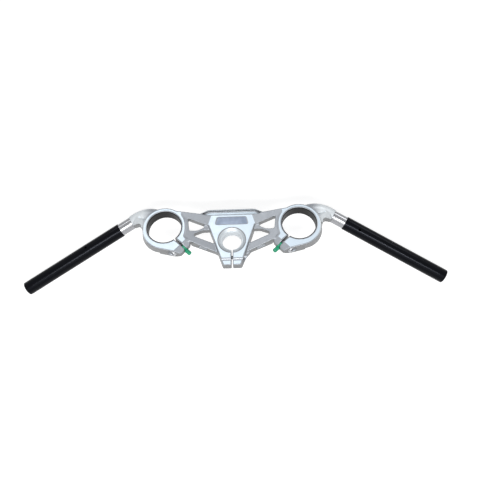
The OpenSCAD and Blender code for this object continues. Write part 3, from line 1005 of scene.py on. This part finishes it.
@dataclass
class NamePlate:
    """The bare blue-grey plate in its recess.

    Attributes:
        finish: Its finish.
        corner: How much narrower its front edge is on each side.
        nick: The short and long leg of its cut corners.
        edge: Rounding of its edges.
    """

    finish: Material
    corner: float = 2.5 * MM
    nick: Point = (0.6 * MM, 0.8 * MM)
    edge: float = 0.18 * MM

    def dress(self) -> None:
        """Raises the plate's plan with rounded edges and finishes it."""
        low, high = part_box("name_plate")
        c = self.corner
        short, long = self.nick
        plan = [(low.x + short, low.y), (high.x - short, low.y), (high.x, low.y + long),
                (high.x - c, high.y - short), (high.x - c - long, high.y),
                (low.x + c + long, high.y), (low.x + c, high.y - short), (low.x, low.y + long)]
        mesh = mesh_from("plate", prism(plan, low.z, high.z, self.edge), UNTURNED, 50)
        add_piece("blank_plate", mesh, self.finish, "plate_blue", "name_plate")


@dataclass
class SlitPlug:
    """A green plug with a flat tongue in the slit and a rounded head.

    Attributes:
        side: The side it belongs to.
        finish: Its green plastic.
        head_r: Radius of its head.
        head_l: Length of its head.
        brim: Rounding of the head's start.
        tip: Rounding of its tip, as a share of its radius.
        waist: Radius where the taper ends and its place, as shares of radius and length.
        reach: Distance of the head's start from the fork axis.
        flat: The tongue's hidden end and its front, from the head's start.
        flat_half: Half the tongue's thickness and half its height.
        nick: Cut of the tongue's hidden corners.
        edge: Rounding of its edges.
    """

    side: Side
    finish: Material
    head_r: float = 3.5 * MM
    head_l: float = 9.5 * MM
    brim: float = 0.7 * MM
    tip: float = 0.75
    waist: Point = (0.94, 0.45)
    reach: float = 50.2 * MM
    flat: Point = (-7.9 * MM, 0.9 * MM)
    flat_half: Point = (1.4 * MM, 6 * MM)
    nick: float = 0.5 * MM
    edge: float = 0.3 * MM

    def dress(self) -> None:
        """Builds the head and the tongue as two pieces of one plug."""
        low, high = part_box(self.side.node("slit_plug"))
        clamp = mount(self.side.node("fork_clamp"))["pos_m"]
        middle = (low.z + high.z) / 2
        way = math.radians(SLIT_ANGLE)
        along = Vector((self.side.value * math.cos(way), math.sin(way), 0))
        beside = Vector((self.side.value * -math.sin(way), math.cos(way), 0))
        start = (Vector((clamp[0], clamp[1], middle)) + self.reach * along
                 + SLIT_OFFSET * beside)
        r, length, brim = self.head_r, self.head_l, self.brim
        tip = r * self.tip
        profile = ([(0, 0), (r - brim, 0)] + arc((r - brim, brim), brim, -90, 0, 4)
                   + [(r * self.waist[0], length * self.waist[1])]
                   + arc((r - tip, length - tip), tip, 0, 90, 8)[1:] + [(0, length)])
        head = mesh_from("head", turned(profile, 64), Axis(start, along).frame(), 60)
        add_piece(self.side.node("plug_head"), head, self.finish, "plug_green",
                  self.side.node("slit_plug"))
        tongue = self.tongue(start, along, beside, middle)
        add_piece(self.side.node("plug_tongue"), tongue, self.finish, "plug_green")

    def tongue(self, start: Vector, along: Vector, beside: Vector, middle: float) -> Mesh:
        """Makes the flat tongue inside the slit.

        Args:
            start: Where the head starts.
            along: Direction out of the slit.
            beside: Direction across the slit.
            middle: Height of the plug's middle.

        Returns:
            The tongue's mesh.
        """
        (back, front), (half, tall) = self.flat, self.flat_half
        plan = [start + x * along + y * beside for x, y in
                ((back + self.nick, -half), (front, -half), (front, half),
                 (back + self.nick, half), (back, half * 0.5), (back, -half * 0.5))]
        form = prism([(p.x, p.y) for p in plan], middle - tall, middle + tall, self.edge)
        return mesh_from("tongue", form, UNTURNED, 50)


@dataclass
class PinchBolt:
    """A socket-head bolt with a knurled head and a rolled thread.

    Attributes:
        node: Its CAD node.
        way: Direction from its head to its thread.
        shank_r: Radius of its shank.
        head_h: Height of its head.
        finish: Its plating.
        pitch: Pitch of its thread.
        crest: How far the thread's crests lie inside its shank.
        root: Depth of the thread as a share of its pitch.
        crown: Rounding of the head, and chamfer of the tip.
        seat: Chamfer of the head's seat.
        plain: Share of the length without a thread.
        ribs: Number of knurls.
        rib: Depth of a knurl as a share of the radius.
        hexagon: The socket's radius as a share of the shank's.
    """

    node: str
    way: Vector
    shank_r: float
    head_h: float
    finish: Material
    pitch: float = 1.25 * MM
    crest: float = 0.03 * MM
    root: float = 0.6
    crown: float = 0.8 * MM
    seat: float = 0.4 * MM
    plain: float = 0.4
    ribs: int = 48
    rib: float = 0.02
    hexagon: float = 0.86

    def dress(self) -> None:
        """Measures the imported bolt, builds it and finishes it."""
        low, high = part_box(self.node)
        middle = (low + high) / 2
        start, end, head = Axis(middle, self.way).reach(self.node)
        seat = Axis(middle + (start + self.head_h) * self.way, self.way)
        r, top, crown = self.shank_r, end - start - self.head_h, self.crown
        crest, root = r - self.crest, r - self.root * self.pitch
        profile = [(0, -self.head_h), (head - crown, -self.head_h)]
        profile += arc((head - crown, crown - self.head_h), crown, -90, 0, 4)
        profile += [(head, -self.seat), (head - self.seat, 0), (r, 0)]
        height = max(top * self.plain, 1 * MM)
        profile.append((r, height))
        while height + self.pitch < top - crown:
            profile += [(root, height + self.pitch / 2), (crest, height + self.pitch)]
            height += self.pitch
        profile += [(r - crown, top), (0, top)]
        form = turned(profile, 2 * self.ribs)
        for vertex in form.verts:
            reach = math.hypot(vertex.co.x, vertex.co.y)
            if reach > head - 0.1 * MM and -self.head_h < vertex.co.z < -self.seat:
                step = round(math.atan2(vertex.co.y, vertex.co.x) * self.ribs / math.pi)
                vertex.co.xy *= 1 - (self.rib if step % 2 else 0.0)
        bolt = mesh_from("bolt", form, UNTURNED, 30)
        hexagon = [(r * self.hexagon * math.cos(math.radians(60 * i)),
                    r * self.hexagon * math.sin(math.radians(60 * i))) for i in range(6)]
        socket = prism(hexagon, -self.head_h - 1 * MM, -self.head_h / 2)
        socket = mesh_from("socket", socket, UNTURNED)
        bolt = cut_out(bolt, [socket])
        bolt.transform(seat.frame())
        smooth(bolt)
        add_piece(self.node + "_socket_head", bolt, self.finish, "bolt_steel", self.node)


@dataclass(frozen=True)
class Lamp:
    """One area lamp of the studio, aimed at the object.

    Attributes:
        name: Its name.
        place: Where it stands.
        size: Its width and height.
        power: Its power in watts.
    """

    name: str
    place: Triple
    size: Point
    power: float

    def hang(self, target: Vector) -> None:
        """Adds the lamp and aims it at a point."""
        data = bpy.data.lights.new(self.name, "AREA")
        data.shape = "RECTANGLE"
        data.size, data.size_y = self.size
        data.energy = self.power
        lamp = placed(self.name, data)
        lamp.location = self.place
        lamp.rotation_euler = (target - lamp.location).to_track_quat("-Z", "Y").to_euler()


@dataclass
class Studio:
    """Pale floor, soft light and the photograph's camera.

    Attributes:
        angles: The camera's azimuth, elevation and roll in degrees.
        distance: The camera's distance from its target.
        target: The point it looks at.
        focal: Focal length in pixels of a picture 480 wide.
        centre: The point that the lamps shine at.
        matt: Colour of the floor.
        glow: How brightly the floor is seen.
        drop: How far it lies under the lowest point.
        fill: Strength of the soft light all round.
        tint: Its colour.
        lamps: The lamps.
    """

    angles: Triple = (3.18, 63.57, -4.64)
    distance: float = 0.943
    target: Triple = (0.01276, -0.00292, 0.020)
    focal: float = 615.19
    centre: Triple = (0.0, 0.02, 0.0)
    matt: Triple = (0.5, 0.5, 0.5)
    glow: float = 0.8
    drop: float = 0.2 * MM
    fill: float = 0.14
    tint: Triple = (0.93, 0.96, 1.0)
    lamps: tuple[Lamp, ...] = (
        Lamp("key", (-0.20, 0.66, 1.31), (0.30, 0.30), 1.55),
        Lamp("back_left", (-0.92, 0.70, 1.10), (0.35, 0.35), 1.2),
        Lamp("back_right", (1.05, 0.72, 1.00), (0.45, 0.45), 2.2),
        Lamp("strip", (0.0, -0.95, 1.15), (1.2, 0.20), 18.0),
        Lamp("front", (0.0, -1.30, 0.65), (2.2, 0.6), 3.5),
    )

    def set_up(self) -> None:
        """Builds the whole studio."""
        self.floor()
        self.sky()
        for lamp in self.lamps:
            lamp.hang(Vector(self.centre))
        self.camera()
        bpy.context.scene.view_settings.view_transform = "Standard"

    def camera(self) -> None:
        """Sets the camera that stands where the photograph's stood."""
        az, el, roll = (math.radians(angle) for angle in self.angles)
        back = Vector((math.sin(az) * math.cos(el), -math.cos(az) * math.cos(el), math.sin(el)))
        right = Vector((math.cos(az), math.sin(az), 0.0))
        up = back.cross(right)
        across = right * math.cos(roll) + up * math.sin(roll)
        rise = up * math.cos(roll) - right * math.sin(roll)
        data = bpy.data.cameras.new("camera")
        data.sensor_width = SENSOR_W
        data.lens = self.focal / PICTURE_W * SENSOR_W
        camera = placed("camera", data)
        place = Matrix((across, rise, back)).transposed().to_4x4()
        place.translation = Vector(self.target) + back * self.distance
        camera.matrix_world = place
        bpy.context.scene.camera = camera

    def floor(self) -> None:
        """Lays the pale floor under the lowest point, with the object's shadow on it."""
        low, _ = CAD_BOX
        form = bmesh.new()
        bmesh.ops.create_grid(form, x_segments=24, y_segments=24, size=4.0)
        mesh = mesh_from("floor", form, Matrix.Translation((0, 0, low[2] - self.drop)))
        material = bpy.data.materials.new("pale_floor")
        nodes = Nodes(material, "Material")
        matt, glow, both = (nodes.add(kind) for kind in ("BsdfDiffuse", "Emission", "AddShader"))
        matt.inputs["Color"].default_value = (*self.matt, 1.0)
        nodes.link(nodes.math("MULTIPLY", nodes.seen_white(), self.glow),
                   glow.inputs["Strength"])
        nodes.link(matt.outputs["BSDF"], both.inputs[0])
        nodes.link(glow.outputs["Emission"], both.inputs[1])
        nodes.link(both.outputs["Shader"], nodes.surface)
        mesh.materials.append(material)
        placed("floor", mesh)

    def sky(self) -> None:
        """Sets the soft light all round, which the lens and glosses see as a pale grey."""
        world = bpy.data.worlds.new("soft_sky")
        nodes = Nodes(world, "World")
        soft, pale, mix = (nodes.add(kind) for kind in ("Background", "Background", "MixShader"))
        soft.inputs["Color"].default_value = (*self.tint, 1.0)
        soft.inputs["Strength"].default_value = self.fill
        nodes.link(nodes.seen_white(), mix.inputs["Fac"])
        nodes.link(soft.outputs["Background"], mix.inputs[1])
        nodes.link(pale.outputs["Background"], mix.inputs[2])
        nodes.link(mix.outputs["Shader"], nodes.surface)
        bpy.context.scene.world = world


def fork_bolt_way(side: Side) -> Vector:
    """Gives the direction of a fork's pinch bolt, from its head to its thread."""
    turn = math.radians(FORK_BOLT_ANGLE)
    return Vector((side.value * -math.sin(turn), math.cos(turn), 0))


def main() -> None:
    """Dresses each sub-assembly in order and reports it."""
    logging.basicConfig(level=logging.INFO, format="%(message)s")
    silver, black, liner, blue, green, steel = (finish.material() for finish in (
        SatinSilver(), SATIN_BLACK, LINER_BLACK, PlateBlue(), PLUG_GREEN, ZINC_STEEL))
    ForgedYoke(silver).dress()
    NamePlate(blue).dress()
    for side in Side:
        SplitLiner(side, liner).dress()
        Spigot(side).dress()
        Handlebar(side, black).dress()
        SlitPlug(side, green).dress()
        PinchBolt(side.node("fork_pinch_bolt"), fork_bolt_way(side), *FORK_BOLT, steel).dress()
    PinchBolt("stem_pinch_bolt", Vector((-1, 0, 0)), *STEM_BOLT, steel).dress()
    Studio().set_up()


if __name__ == "__main__":
    main()
